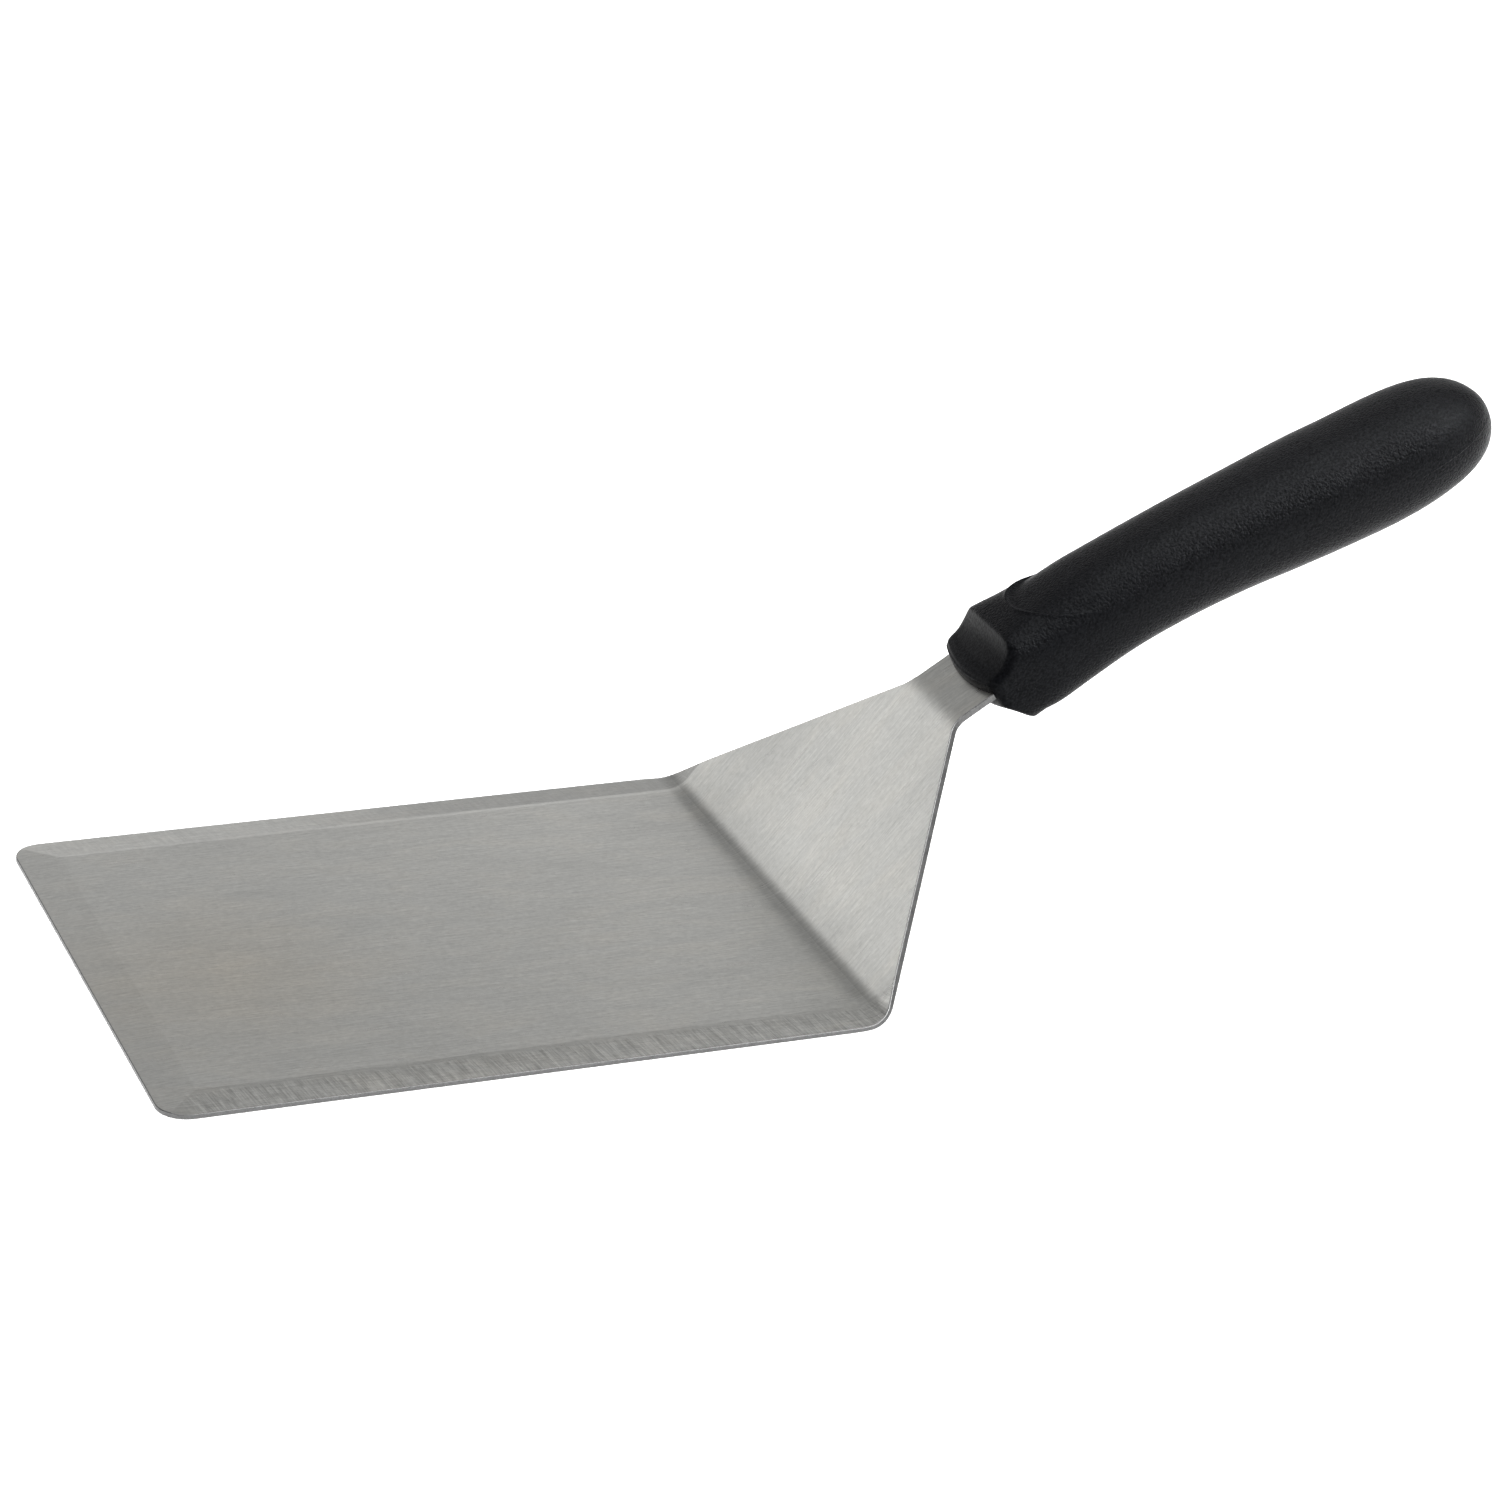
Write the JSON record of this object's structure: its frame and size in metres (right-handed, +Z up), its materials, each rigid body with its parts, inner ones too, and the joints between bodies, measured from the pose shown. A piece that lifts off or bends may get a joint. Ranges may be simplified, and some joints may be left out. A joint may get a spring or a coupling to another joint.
{
  "type": "offset spatula",
  "caption": "Offset spatula with a wide flat blade, a steep tapering riser and a moulded black grip.",
  "frame": {"origin": "centre of the blade's flat underside, midway between the leading edge and the lower bend line", "axes": "+X from the leading edge towards the handle, +Y to the left seen from behind the handle, +Z up, out of the blade's upper face"},
  "size_m": [0.3154, 0.127, 0.107],
  "materials": {
    "steel": "brushed along its length, ground bands with cross grain",
    "core_plastic": "as moulded",
    "grip_plastic": "fine moulded texture"
  },
  "bodies": {
    "root": {"blade": "steel", "handle_core": "core_plastic", "handle_grip": "grip_plastic"}
  },
  "joints": []
}
